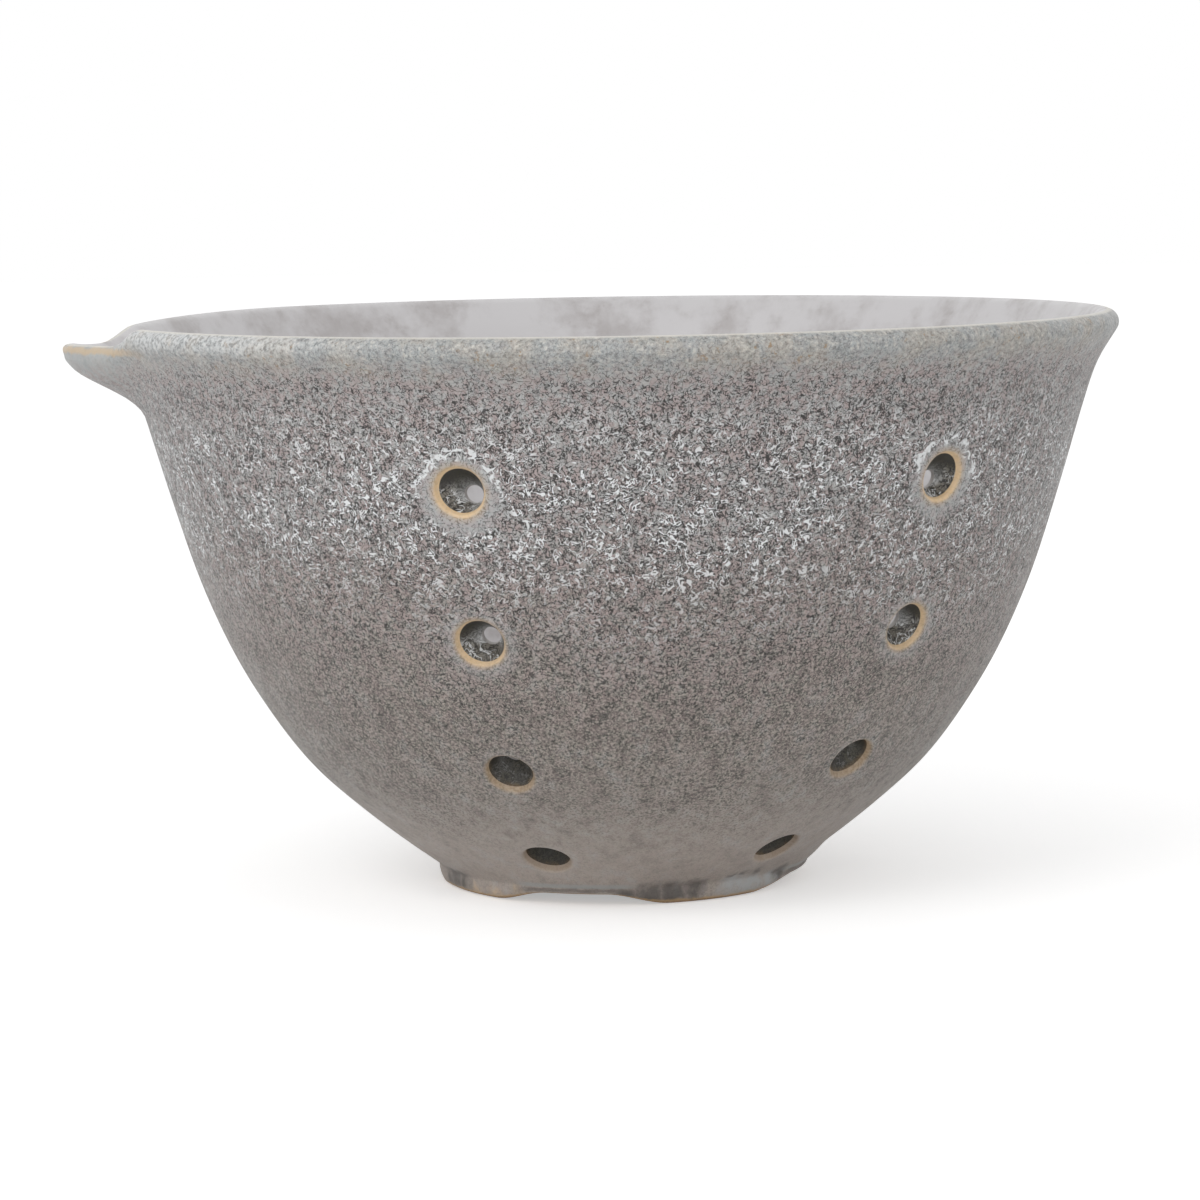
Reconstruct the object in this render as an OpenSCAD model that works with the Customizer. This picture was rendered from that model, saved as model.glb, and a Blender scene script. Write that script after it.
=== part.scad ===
// Stoneware berry bowl: a thrown clay bowl with rows of drain holes, a pulled
// pouring spout and an arched foot ring, under coats of reactive glaze.
// Millimetres. +Z is up and the table is Z = 0. The spout points along -X, and
// the origin is on the table in the middle of the box that the bowl fills.

/* [Bowl] */
// Height from the table to the top of the rim
bowl_height = 82.55; // [60:0.05:120]
// Diameter across the rim, without the spout
rim_dia = 146.4; // [120:0.2:200]
// Thickness of the wall low down, with its glaze
wall = 4.8; // [3.6:0.1:7]
// Thickness of the lip at the rim, with its glaze
lip = 3.6; // [2.6:0.1:5]
// Thickness of the floor over the foot, with its glaze
floor_thick = 4.8; // [3.6:0.1:8]

/* [Foot] */
// Diameter across the foot ring
foot_dia = 53.4; // [40:0.2:70]
// Height of the foot ring
foot_height = 2.8; // [2.4:0.1:6]
// Width of the foot ring, from its outside to its inside
foot_width = 6.5; // [4:0.1:10]
// Radius of the foot's bare edge
foot_round = 0.9; // [0.4:0.1:1.5]
// Number of arches cut in the foot
arch_count = 4; // [3:1:6]
// Width of an arch at the table
arch_width = 19.5; // [8:0.5:22]
// Height of an arch at its crown
arch_height = 2; // [1.2:0.1:2.1]
// Angle of the first arch from the spout
arch_turn = -20; // [-30:1:30]

/* [Drain holes] */
// Diameter of a finished drain hole
hole_dia = 6.6; // [4:0.1:9]
// Number of columns of holes
column_count = 5; // [3:1:5]
// Angle between two columns
column_pitch = 60; // [45:1:60]
// Angle of the first column from the spout
column_turn = 66; // [55:1:72]

/* [Spout] */
// How far the spout's tip stands out past the rim
spout_reach = 6.2; // [3:0.1:12]
// How far the spout's lip lies below the rim
spout_drop = 2.7; // [1:0.1:5]
// How far down the wall the spout begins
spout_depth = 13.5; // [10:0.5:20]
// Angle at the bowl's axis that the whole spout takes
spout_angle = 36; // [28:1:46]

/* [Glaze] */
// Thickness of a glaze coat
glaze = 0.4; // [0.2:0.05:0.6]

/* [Hidden] */
$fn = 180;

// Overrun of every cut past the surface that it opens
overrun = 3;
// Length of the blend between the wall and the floor inside
floor_blend = 3.2;
// Lean of the outside where it runs into the rim, in degrees from upright
rim_lean = 30;
// The outside's curve: shares of the way from the foot's radius to the rim's,
// and of the way from the top of the foot to the rim
wall_shares = [[0, 0], [0.122, 0.054], [0.256, 0.119], [0.396, 0.197], [0.511, 0.287], [0.627, 0.403],
               [0.731, 0.545], [0.821, 0.713], [0.896, 0.866], [0.94, 0.942]];
// Heights of the rows of holes, as shares of the bowl's height
row_shares = [0.092, 0.265, 0.499, 0.752];
// Points worked out on each span of the outside's curve
span_steps = 3;
// Step round the rim's half circle, in degrees, and steps round a foot edge's quarter
rim_step = 15;
edge_steps = 4;
// Stations across the spout
spout_steps = 32;
// The spout's channel as a share of its angle, where its lip is at its lowest as
// another, and where the push on its outside ends and on its inside begins
channel_share = 0.84;
low_lip_share = 0.58;
outside_push_share = 0.7;
inside_push_share = 0.25;

rim_r = rim_dia / 2;
foot_r = foot_dia / 2;
rim_centre = [rim_r - lip / 2, bowl_height - lip / 2];
rim_end = rim_centre + lip / 2 * [cos(rim_lean), -sin(rim_lean)];
floor_z = foot_height + floor_thick;
spout_root = bowl_height - spout_depth;
// The bowl's axis stands off the origin, because the spout makes the box longer
axis_x = spout_reach / 2;
// The radius of an arch's circle, from its width and its crown
arch_r = (arch_width * arch_width / 4 + arch_height * arch_height) / (2 * arch_height);

function mix(a, b, t) = a + (b - a) * t;
function clamp01(t) = min(1, max(0, t));
function ease(t) = let (c = clamp01(t)) c * c * (3 - 2 * c);
function unit(v) = v / norm(v);

// The outside's knots, and a smooth curve through them
knots = concat([for (s = wall_shares) [mix(foot_r, rim_end[0], s[0]), mix(foot_height, rim_end[1], s[1])]],
               [rim_end]);
last = len(knots) - 1;
function knot(i) = i < 0 ? 2 * knots[0] - knots[1]
    : i > last ? knots[last] + norm(knots[last] - knots[last - 1]) * [sin(rim_lean), cos(rim_lean)]
    : knots[i];
function curve(i, t) = let (a = knot(i - 1), b = knot(i), c = knot(i + 1), d = knot(i + 2))
    0.5 * (2 * b + (c - a) * t + (2 * a - 5 * b + 4 * c - d) * t * t + (3 * b - a - 3 * c + d) * t * t * t);
function heading(i, t) = let (a = knot(i - 1), b = knot(i), c = knot(i + 1), d = knot(i + 2))
    unit((c - a) + 2 * (2 * a - 5 * b + 4 * c - d) * t + 3 * (3 * b - a - 3 * c + d) * t * t);
places = concat([for (i = [0 : last - 1]) for (k = [0 : span_steps - 1]) [i, k / span_steps]],
                [[last - 1, 1]]);
outside = [for (p = places) curve(p[0], p[1])];
normals = [for (p = places) let (h = heading(p[0], p[1])) [h[1], -h[0]]];
top = len(places) - 1;

// The wall thins from the floor to the lip
function thickness(i) = mix(wall, lip, ease(i / top));
// The outside moved into the wall by a depth, with its foot on the foot ring's top
function sunk(depth) = [for (i = [0 : top])
    i == 0 ? [outside[0][0] - depth / normals[0][0], foot_height] : outside[i] - depth * normals[i]];
// The inside, at a height above or below the inner glaze's face, run on under the
// floor and then eased into it
function eased_floor(p, z) = [p[0], p[1] >= z + floor_blend ? p[1]
    : p[1] <= z - floor_blend ? z : z + pow(p[1] - z + floor_blend, 2) / (4 * floor_blend)];
function lining(depth) = let (
    raw = [for (i = [0 : top]) outside[i] - (thickness(i) - depth) * normals[i]],
    slope = unit(raw[1] - raw[0]),
    run = max(0, raw[0][1] - (floor_z - floor_blend)) / slope[1],
    low = [for (k = [span_steps : -1 : 1]) raw[0] - run * k / span_steps * slope])
    [for (p = concat(low, raw)) eased_floor(p, floor_z - depth)];
// Angles from one to another in the rim's steps, and the arc of the rim over them with
// its radius cut down by a depth
function turns(from, to) = let (n = round(abs(to - from) / rim_step))
    [for (k = [0 : n]) mix(from, to, k / n)];
function rim_arc(from, to, depth) = [for (a = turns(from, to))
    rim_centre + (lip / 2 - depth) * [cos(a), sin(a)]];
function reversed(points) = [for (i = [len(points) - 1 : -1 : 0]) points[i]];
function trimmed(points) = [for (i = [0 : len(points) - 2]) points[i]];
function tail(points) = [for (i = [1 : len(points) - 1]) points[i]];

clay_outside = sunk(glaze);
clay_inside = lining(glaze);
glaze_inside = lining(0);

clay_section = concat([[0, foot_height]], trimmed(clay_outside), rim_arc(-rim_lean, 180 - rim_lean, glaze),
                      tail(reversed(clay_inside)), [[0, floor_z - glaze]]);
outer_section = concat(trimmed(outside), rim_arc(-rim_lean, 90, 0),
                       trimmed(rim_arc(90, -rim_lean, glaze)), reversed(clay_outside));
inner_section = concat([[0, floor_z]], trimmed(glaze_inside), rim_arc(180 - rim_lean, 90, 0),
                       trimmed(rim_arc(90, 180 - rim_lean, glaze)), reversed(clay_inside),
                       [[0, floor_z - glaze]]);

module on_axis() translate([axis_x, 0, 0]) children();
module round_section(points) rotate_extrude() polygon(points);

// Radius of a curve at a height
function table(points) = [for (p = points) [p[1], p[0]]];
outside_table = table(outside);
// Slope of the outside at a height, in degrees from upright
function lean(z) = let (step = bowl_height / 100)
    atan2(lookup(z + step, outside_table) - lookup(z - step, outside_table), 2 * step);

// Rods through the wall at every drain hole, and one through the floor
module drain_rods(dia) {
    for (c = [0 : column_count - 1], share = row_shares) {
        z = share * bowl_height;
        rotate(180 + column_turn + c * column_pitch)
            translate([lookup(z, outside_table), 0, z])
            rotate([0, lean(z) - 90, 0])
            translate([0, 0, -overrun])
            cylinder(h = wall + 2 * overrun, d = dia);
    }
    translate([0, 0, foot_height - overrun])
        cylinder(h = floor_thick + 2 * overrun, d = dia);
}

// The wedge of wall that the spout takes the place of
module spout_wedge() {
    reach = rim_r + spout_reach + overrun;
    translate([0, 0, spout_root])
        linear_extrude(spout_depth + overrun)
        polygon([[0, 0], [-reach, reach * tan(spout_angle / 2)], [-reach, -reach * tan(spout_angle / 2)]]);
}

// A round shell with the drain holes and the spout's wedge cut out of it
module drained_shell(points, dia) {
    difference() {
        round_section(points);
        drain_rods(dia);
        spout_wedge();
    }
}

// The part of a rising curve above the spout's root, from the root's own height
function above_root(points) = concat([[lookup(spout_root, table(points)), spout_root]],
                                     [for (p = points) if (p[1] > spout_root) p]);
// Points marked with how far each belongs to the inside of the wall, along a curve and
// round an arc of the rim
function with_side(points, side) = [for (p = points) [p[0], p[1], side]];
function arc_side(from, to, depth) = [for (a = turns(from, to))
    concat(rim_centre + (lip / 2 - depth) * [cos(a), sin(a)], [(a + rim_lean) / 180])];

spout_clay = concat(with_side(trimmed(above_root(clay_outside)), 0),
                    arc_side(-rim_lean, 180 - rim_lean, glaze),
                    with_side(tail(reversed(above_root(clay_inside))), 1));
spout_outer = concat(with_side(trimmed(above_root(outside)), 0), arc_side(-rim_lean, 90, 0),
                     arc_side(90, -rim_lean, glaze),
                     with_side(tail(reversed(above_root(clay_outside))), 0));
spout_inner = concat(with_side(trimmed(above_root(glaze_inside)), 1), arc_side(180 - rim_lean, 90, 0),
                     arc_side(90, 180 - rim_lean, glaze),
                     with_side(tail(reversed(above_root(clay_inside))), 1));

// A section's point at an angle from the spout's middle, pulled out and down
function pulled(p, angle) = let (
    up = (p[1] - spout_root) / spout_depth,
    across = abs(angle) / (spout_angle / 2),
    channel = across < channel_share ? pow(cos(90 * across / channel_share), 2) : 0,
    low_lip = 1 - ease((across - low_lip_share) / (1 - low_lip_share)),
    push = mix(ease(up / outside_push_share), ease((up - inside_push_share) / (1 - inside_push_share)), p[2]),
    r = p[0] + spout_reach * channel * push)
    [r * cos(180 + angle), r * sin(180 + angle), p[1] - spout_drop * low_lip * ease(up)];

// A closed shell of one section swept across the spout
module pulled_shell(section) {
    n = len(section);
    points = [for (s = [0 : spout_steps], p = section)
        pulled(p, mix(-spout_angle / 2, spout_angle / 2, s / spout_steps))];
    sides = [for (s = [0 : spout_steps - 1], k = [0 : n - 1]) let (
        a = s * n + k, b = s * n + (k + 1) % n, c = a + n, d = b + n)
        for (f = [[a, c, b], [b, c, d]]) f];
    first = [for (k = [0 : n - 1]) k];
    final = [for (k = [n - 1 : -1 : 0]) spout_steps * n + k];
    polyhedron(points, concat(sides, [first, final]), convexity = 6);
}

// A cut for every arch of the foot
module arch_cuts() {
    for (k = [0 : arch_count - 1])
        rotate(180 + arch_turn + k * 360 / arch_count)
            translate([0, 0, arch_height - arch_r])
            rotate([0, 90, 0])
            cylinder(h = foot_r + overrun, r = arch_r);
}

// A quarter circle of a foot edge, round a centre
function foot_edge(centre, from) = [for (k = [0 : edge_steps]) let (a = from + 90 * k / edge_steps)
    centre + foot_round * [cos(a), sin(a)]];

foot_in = foot_r - foot_width;
foot_out = foot_r - glaze;
foot_section = concat([[foot_in, foot_height]], foot_edge([foot_in + foot_round, foot_round], 180),
                      foot_edge([foot_out - foot_round, foot_round], 270), [[foot_out, foot_height]]);

module bowl_wall() color("tan") on_axis() drained_shell(clay_section, hole_dia + 2 * glaze);

module foot_ring() color("burlywood") on_axis() difference() {
    round_section(foot_section);
    arch_cuts();
}

module pouring_spout() color("peru") on_axis() pulled_shell(spout_clay);

module outer_glaze() color("rosybrown") on_axis() drained_shell(outer_section, hole_dia);

module inner_glaze() color("gainsboro") on_axis() drained_shell(inner_section, hole_dia);

module spout_outer_glaze() color("darkgray") on_axis() pulled_shell(spout_outer);

module spout_inner_glaze() color("silver") on_axis() pulled_shell(spout_inner);

// The band of glaze round the foot stops above the bare edge
module foot_glaze() color("dimgray") on_axis() difference() {
    round_section([[foot_out, foot_round], [foot_r, foot_round],
                   [foot_r, foot_height], [foot_out, foot_height]]);
    arch_cuts();
}

// The coat under the floor, inside the foot ring
module base_glaze() color("slategray") on_axis() difference() {
    translate([0, 0, foot_height - glaze]) cylinder(h = glaze, r = foot_in);
    drain_rods(hole_dia);
}

// The coat inside each drain hole, as thick as the clay is there
module drain_hole_glaze() color("darkslategray") on_axis() intersection() {
    difference() {
        drain_rods(hole_dia + 2 * glaze);
        drain_rods(hole_dia);
    }
    round_section(clay_section);
}

bowl_wall();
foot_ring();
pouring_spout();
outer_glaze();
inner_glaze();
spout_outer_glaze();
spout_inner_glaze();
foot_glaze();
base_glaze();
drain_hole_glaze();
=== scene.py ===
"""A stoneware berry bowl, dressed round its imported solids: glaze coats, a clay foot and a pale studio."""
import copy
import math

import bmesh
import bpy
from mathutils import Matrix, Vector
from mathutils.bvhtree import BVHTree


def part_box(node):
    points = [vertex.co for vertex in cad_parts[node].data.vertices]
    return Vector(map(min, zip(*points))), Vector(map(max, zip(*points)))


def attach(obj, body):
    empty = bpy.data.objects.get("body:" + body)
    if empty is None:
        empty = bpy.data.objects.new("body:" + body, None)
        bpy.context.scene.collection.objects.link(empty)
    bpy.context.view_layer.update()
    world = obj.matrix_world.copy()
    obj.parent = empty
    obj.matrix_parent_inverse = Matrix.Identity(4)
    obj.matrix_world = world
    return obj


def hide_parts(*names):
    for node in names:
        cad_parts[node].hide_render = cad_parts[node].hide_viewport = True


bl_info = {
    "name": "Stoneware berry bowl",
    "version": (1, 0, 0),
    "blender": (4, 5, 0),
    "location": "View3D > Sidebar > Berry bowl",
    "description": "Builds a glazed stoneware berry bowl with drain holes, and a pale studio round it",
    "category": "Add Mesh",
}

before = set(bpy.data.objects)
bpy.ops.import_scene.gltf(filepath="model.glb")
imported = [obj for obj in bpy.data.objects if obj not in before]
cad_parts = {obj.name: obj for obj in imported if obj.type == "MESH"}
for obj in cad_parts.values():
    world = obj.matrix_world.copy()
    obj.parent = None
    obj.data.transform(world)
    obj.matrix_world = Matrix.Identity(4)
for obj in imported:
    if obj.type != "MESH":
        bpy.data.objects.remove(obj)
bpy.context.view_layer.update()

MM = 0.001
COAT_LOW, COAT_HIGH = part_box("outer_glaze")
FOOT_LOW, FOOT_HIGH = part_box("foot_glaze")
RING_LOW, RING_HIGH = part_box("foot_ring")
# The bowl's axis stands off the origin, because the spout makes the box longer
AXIS_X = (RING_LOW.x + RING_HIGH.x) / 2

# The outside's curve: shares of the way from the foot's radius to the rim's, and from the foot's top up
WALL_SHARES = ((0, 0), (0.122, 0.054), (0.256, 0.119), (0.396, 0.197), (0.511, 0.287), (0.627, 0.403),
               (0.731, 0.545), (0.821, 0.713), (0.896, 0.866), (0.94, 0.942))
# Lean of the outside where it runs into the rim, from upright
RIM_LEAN = math.radians(30)
# Heights of the rows of holes, as shares of the bowl's height
ROW_SHARES = (0.092, 0.265, 0.499, 0.752)
# Heights between which the bores begin to fall and lean inwards, as shares of the bowl's height
FALL_SHARES = (0.3, 0.65)
# Plan angles of the columns of holes and of the foot's arches, in whole degrees from +X
HOLE_COLUMNS = tuple(246 + 60 * c for c in range(5))
# How far each column's high bores lean sideways on their way in
HOLE_LEANS = (1.1 * MM, 0.2 * MM, 0.0, 0.0, 0.0)
ARCHES = tuple(160 + 90 * c for c in range(4))
# How much of the corner over each arch is filled out, because the foot was pressed by hand
ARCH_FILLS = (0.15, 1.0, 1.0, 0.6)
# The spout's channel as a share of its angle, where its lip is at its lowest as another, and where the
# push on its outside ends and on its inside begins
CHANNEL_SHARE = 0.84
LOW_LIP_SHARE = 0.52
OUTSIDE_PUSH_SHARE = 0.7
INSIDE_PUSH_SHARE = 0.25
# Shares of the spout's half angle, on the far side of the lip: where its steep rise begins and ends, and
# where its sag is full and where it runs out
FAR_LIP_SHARES = (0.42, 0.8)
FAR_SAG_SHARES = (1 / 3, 2.8)
# How far below the crest the square tip fades away, as a share of the lip's thickness
TIP_FADE_SHARE = 4 / 7
# The skin's columns, the size of its cells up the wall, and its steps round the rim in degrees
COLUMNS = 120
WALL_CELL = 2.1 * MM
RIM_STEP = 10
# The skin's rows up the foot, in across the floor and down the floor's hole, as shares of each way
FOOT_ROW_SHARES = (0.0, 0.18, 0.4, 0.65, 0.88)
FLOOR_ROW_SHARES = (0.16, 0.33, 0.5, 0.66, 0.8, 0.92)
DRAIN_ROW_SHARES = (0.0, 0.3, 0.65, 1.0)
# Rows of cells that a hole's patch takes on each side of its middle, and the least half width of the patch
PATCH_ROWS = 3
PATCH_REACH = 5.6 * MM
# The steps round a hole's rounded edge in degrees, and where the first ring round it lies, as a share of
# the edge's radius
EDGE_TURNS = (0, 30, 60, 90)
FIRST_RING_SHARE = 1.75
# The steps round the foot's edges in degrees, how far its clay lies inside its glaze, and how close corners
# lie that count as one
FOOT_TURNS = (0, 22.5, 45, 67.5, 90)
CLAY_INSET = 0.12 * MM
TOUCHING = 0.001 * MM
# The short steps in which a length along the wall is measured
FINE_STEPS = 60
# A place so far from every hole that no wear shows there
FAR = 0.03
# The row number of a corner that a hole has made
OFF_GRID = -1
# Soft marks on the foot and the wall above it: middle, full radius and outermost radius, in millimetres
SMOKE_SPOTS = ((-22.6, -7.4, 1.9, 0.0, 2.2), (-21.9, -9.3, 1.9, 0.5, 2.7), (-20.8, -11.6, 1.9, 0.0, 2.7),
               (1.2, -26.8, 0.8, 0.2, 3.0), (4.6, -26.7, 1.1, 0.6, 3.4), (8.0, -26.4, 1.5, 0.6, 3.4),
               (11.0, -25.6, 2.0, 0.2, 2.8), (16.2, -24.2, 3.8, 0.1, 1.2), (18.2, -23.2, 3.9, 0.1, 1.3),
               (20.4, -22.0, 3.9, 0.1, 1.3), (24.4, -17.6, 2.6, 0.3, 2.2))
POOL_SPOTS = ((16.6, -23.2, 1.6, 1.0, 3.0), (19.6, -21.2, 1.6, 1.2, 3.0), (22.6, -18.2, 1.6, 0.8, 2.6))
FLUSH_SPOTS = ((-19.2, -14.6, 0.4, 0.3, 2.0), (-16.6, -17.4, 0.5, 0.3, 2.2), (-13.0, -20.6, 1.2, 0.2, 2.0))
# The skin's regions, kept as material numbers until the coats are cut apart
OUTSIDE, INSIDE, BORE = 0, 1, 2
# The camera that was fitted to the photograph: its place, its turn in degrees, its lens and sensor in
# millimetres, and the nearest that it sees
CAMERA_PLACE = (-0.0588, -0.5968, 0.1064)
CAMERA_TURN = (83.75, 0.894, -5.786)
CAMERA_LENS = 123.5
CAMERA_SENSOR = 36.0
CAMERA_NEAR = 0.01
# The soft lamps' places and size and what they point at, and the sides of the round floor
KEY_PLACE = (-0.5, -0.55, 0.62)
FILL_PLACE = (-0.05, -0.8, 0.36)
LAMP_ACROSS = 0.5
LAMP_AIM = (AXIS_X, 0.0, 0.04)
FLOOR_SIDES = 96
WHITE = (1.0, 1.0, 1.0, 1.0)


def length(name, text, size):
    """A length that a user can change, with its default in metres."""
    return bpy.props.FloatProperty(name=name, description=text, default=size, min=0.0, precision=4,
                                   subtype="DISTANCE", unit="LENGTH")


def linear(code):
    """A colour written as six sRGB hex digits, as linear light."""
    parts = [int(code[k:k + 2], 16) / 255 for k in (0, 2, 4)]
    return tuple(p / 12.92 if p <= 0.04045 else ((p + 0.055) / 1.055) ** 2.4 for p in parts)


def colour(name, text, code):
    """A colour that a user can change."""
    return bpy.props.FloatVectorProperty(name=name, description=text, default=linear(code), min=0.0,
                                         max=1.0, size=3, subtype="COLOR")


def amount(name, text, size):
    """A plain number that a user can change."""
    return bpy.props.FloatProperty(name=name, description=text, default=size, min=0.0)


class BowlSizes(bpy.types.PropertyGroup):
    """Sizes of the thrown bowl and its coats."""
    height: length("Height", "From the table to the top of the rim", COAT_HIGH.z)
    rim_across: length("Rim", "Diameter across the rim, without the spout", COAT_HIGH.y - COAT_LOW.y)
    wall: length("Wall", "Thickness of the wall low down, with its glaze", 4.8 * MM)
    lip: length("Lip", "Thickness of the lip at the rim, with its glaze", 3.6 * MM)
    floor: length("Floor", "Thickness of the floor over the foot, with its glaze", 4.8 * MM)
    floor_blend: length("Floor blend", "Length of the blend between wall and floor inside", 3.2 * MM)
    coat: length("Coat", "Thickness of a glaze coat", 0.4 * MM)
    hole_across: length("Drain hole", "Diameter of a finished drain hole", 6.6 * MM)
    hole_edge: length("Hole edge", "Radius of a drain hole's rounded edge outside", 0.6 * MM)
    hole_inside: length("Inner drain hole", "Diameter that a drain hole narrows to inside", 2.3 * MM)
    hole_fall: length("Hole fall", "How far a high drain hole's inner mouth lies below its axis", 1.5 * MM)
    hole_rise: length("Hole rise", "How far a low drain hole's inner mouth lies above its axis", 1.0 * MM)
    hole_edge_inside: length("Inner hole edge", "Radius of a drain hole's rounded edge inside", 0.8 * MM)


class FootSizes(bpy.types.PropertyGroup):
    """Sizes of the foot ring and its arches."""
    across: length("Foot", "Diameter across the foot ring", FOOT_HIGH.x - FOOT_LOW.x)
    height: length("Foot height", "Height of the foot ring", FOOT_HIGH.z)
    width: length("Foot width", "Width of the foot ring", 6.5 * MM)
    edge: length("Foot edge", "Radius of the foot's inner edge", 1.3 * MM)
    roll: length("Foot roll", "How far the foot's outside rolls in at the table", 1.3 * MM)
    roll_height: length("Roll height", "Height at which the foot's outside begins to roll in", 1.4 * MM)
    bare: length("Bare edge", "Height at which the glaze stops above the table", 0.45 * MM)
    arch_width: length("Arch width", "Width of an arch at the table, with its soft ends", 25.5 * MM)
    arch_crown: length("Arch crown", "Width of an arch's level crown", 8.5 * MM)
    arch_height: length("Arch height", "Height of an arch at its crown", 1.65 * MM)
    arch_scoop: length("Arch scoop", "How far an arch's face is scooped in below the wall", 0.3 * MM)
    arch_fill: length("Arch fill", "How far the corner of wall and foot is filled out over an arch", 1.0 * MM)
    fill_reach: length("Fill reach", "How far above and below the corner it is filled out", 3.4 * MM)


class SpoutSizes(bpy.types.PropertyGroup):
    """Sizes of the pulled spout."""
    reach: length("Reach", "How far the spout's tip stands out past the rim", 2 * AXIS_X)
    drop: length("Drop", "How far the spout's lip lies below the rim", 2.7 * MM)
    square: length("Square tip", "How far the crest of the spout's lip is drawn out over its tip", 0.7 * MM)
    sag: length("Sag", "How much further the far side of the spout's lip sags", 1.05 * MM)
    depth: length("Depth", "How far down the wall the spout begins", 13.5 * MM)
    angle: bpy.props.FloatProperty(name="Angle", description="Angle at the bowl's axis that the spout takes",
                                   default=math.radians(36), subtype="ANGLE", unit="ROTATION")


class GlazeColours(bpy.types.PropertyGroup):
    """Colours of the clay and of its coats, some also laid as painted light and shade."""
    clay: colour("Bare clay", "Fired clay where no glaze lies", "c9a98a")
    upper: colour("Upper coat", "The speckled coat on the upper wall", "b0b0af")
    middle: colour("Middle coat", "The coat half way down the wall", "98948f")
    lower: colour("Lower coat", "The smooth coat low on the wall", "8a857d")
    base: colour("Base coat", "The paler coat near the foot", "b5aba2")
    # Also laid as a painted highlight along the top of each arch
    band: colour("Rim band", "The smoother, cooler band below the rim", "adb1b1")
    crystal: colour("Crystals", "Pale crystals that grow in the coat", "e6e8e9")
    vein: colour("Veins", "Dark veins between the crystals", "282625")
    blush: colour("Blush", "Pink and mauve cells in the coat", "a99693")
    pool: colour("Pale pools", "Blue-grey pools and streaks low on the wall", "b8bcbd")
    ochre: colour("Ochre edge", "Where the coat breaks thin over an edge", "c4a273")
    peach: colour("Peach ring", "The thin ring round a drain hole", "e6c79b")
    tan: colour("Tan lip", "The tan band along the spout's lip", "cdb189")
    rust: colour("Rust", "Rusty spots in the rim's band", "96754a")
    cream: colour("Cream crest", "The thin cream line along the rim's crest", "e0dcd2")
    inside: colour("Inner coat", "The pale coat inside", "cfcdce")
    cloud: colour("Inner clouds", "Soft mauve clouds in the inner coat", "938b88")
    bore: colour("Hole coat", "The dark coat in the drain holes", "5a5648")
    # Painted shade: the darkest colour, laid at the top of each drain hole and over the low holes
    pit: colour("Hole shadow", "The darkest, olive glaze at the top of a drain hole", "2b291f")
    # Also laid as painted shade along the low face of each arch
    smoke: colour("Smoke", "Dark smoky marks on the foot", "4a4745")


class Studio(bpy.types.PropertyGroup):
    """Strengths of the studio's light, and its floor."""
    sky: amount("Sky", "Strength of the even light from all round", 0.72)
    key: amount("Key lamp", "Power of the soft lamp at the upper left, in watts", 2.1)
    fill: amount("Fill lamp", "Power of the soft lamp in front, in watts", 0.5)
    floor_tone: amount("Floor", "How pale the floor is", 0.88)
    floor_lift: amount("Floor lift", "Extra white that only the camera sees on the floor", 0.42)
    floor_across: length("Floor size", "Diameter of the floor", 6.0)


def mix(a, b, t):
    """The value a share t of the way from a to b."""
    return a + (b - a) * t


def ease(t):
    """A smooth step from 0 to 1."""
    t = min(1.0, max(0.0, t))
    return t * t * (3 - 2 * t)


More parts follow.
